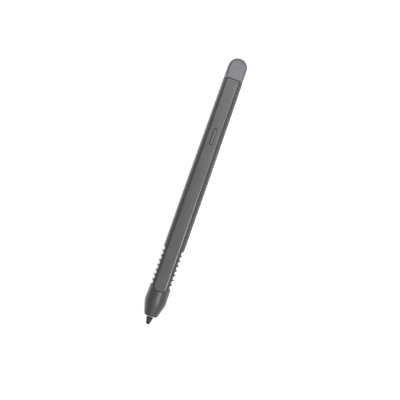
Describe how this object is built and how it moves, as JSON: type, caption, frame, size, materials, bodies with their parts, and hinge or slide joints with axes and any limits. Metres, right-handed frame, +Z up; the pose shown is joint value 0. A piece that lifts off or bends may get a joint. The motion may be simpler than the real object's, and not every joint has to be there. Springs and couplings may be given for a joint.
{
  "type": "active stylus",
  "caption": "Slim rechargeable active stylus with a ribbed grip, a side button in a flat top strip, a removable nib and an end cap.",
  "frame": {"origin": "middle of the pen's box on the flat face that it lies on", "axes": "+X from the nib towards the end cap, +Z up through the flat top strip and its button"},
  "size_m": [0.116, 0.0092, 0.0068],
  "materials": {
    "barrel": "satin paint over moulded resin, fine grain",
    "cover": "satin paint over moulded resin, fine grain",
    "cap": "satin moulded",
    "button": "satin moulded",
    "nib": "matte",
    "ring": "satin",
    "black_tape": "matte",
    "rubber_black": "matte",
    "black_moulding": "satin",
    "white_moulding": "satin",
    "brass": "drawn",
    "steel": "bright",
    "silicone": "matte",
    "sensor_metal": "satin",
    "flex": "film",
    "cell_can": "satin, sleeved",
    "nickel": "plated",
    "foam": "foam",
    "board": "solder mask",
    "chip_resin": "matte",
    "ferrite": "matte",
    "passive_body": "ceramic",
    "gold": "gilt"
  },
  "bodies": {
    "barrel": {"barrel": "barrel", "top_cover": "cover", "cover_adhesive": "black_tape", "end_cap": "cap", "cap_gasket": "rubber_black", "switch_base": "white_moulding", "ring_electrode": "ring", "nib_bush": "white_moulding", "shield_tube": "brass", "nib_spring": "steel", "sensor_housing": "black_moulding", "sensor_pad": "silicone", "sensor_die": "sensor_metal", "sensor_base": "white_moulding", "sensor_flex": "flex", "carrier": "black_moulding", "cell": "cell_can", "cell_terminal": "steel", "cell_tabs": "nickel", "cell_pad": "foam", "circuit_board": "board", "controller_chip": "chip_resin", "power_chip": "chip_resin", "crystal": "nickel", "inductor": "ferrite", "passives": "passive_body", "shield_can": "nickel", "charge_contacts": "gold"},
    "core": {"nib_holder": "steel", "sensor_plunger": "white_moulding"},
    "nib": {"nib": "nib"},
    "button": {"side_button": "button"},
    "switch_plunger": {"switch_plunger": "black_moulding"}
  },
  "joints": [
    {"name": "nib_press", "type": "slide", "parent": "barrel", "child": "core", "axis": [1, 0, 0], "range_m": [0, 0.0003], "stiffness_N_per_m": 600, "springref_m": -0.0005, "deforming": ["nib_spring", "sensor_pad"]},
    {"name": "nib_pull", "type": "slide", "parent": "core", "child": "nib", "axis": [-1, 0, 0], "range_m": [0, 0.0124]},
    {"name": "button_press", "type": "slide", "parent": "barrel", "child": "button", "axis": [0, 0, -1], "range_m": [0, 0.00025], "stiffness_N_per_m": 400, "springref_m": -0.0005},
    {"name": "plunger_press", "type": "slide", "parent": "barrel", "child": "switch_plunger", "axis": [0, 0, -1], "range_m": [0, 0.00025]}
  ],
  "couplings": [
    {"joint": "plunger_press", "follows": "button_press", "ratio": 1}
  ]
}
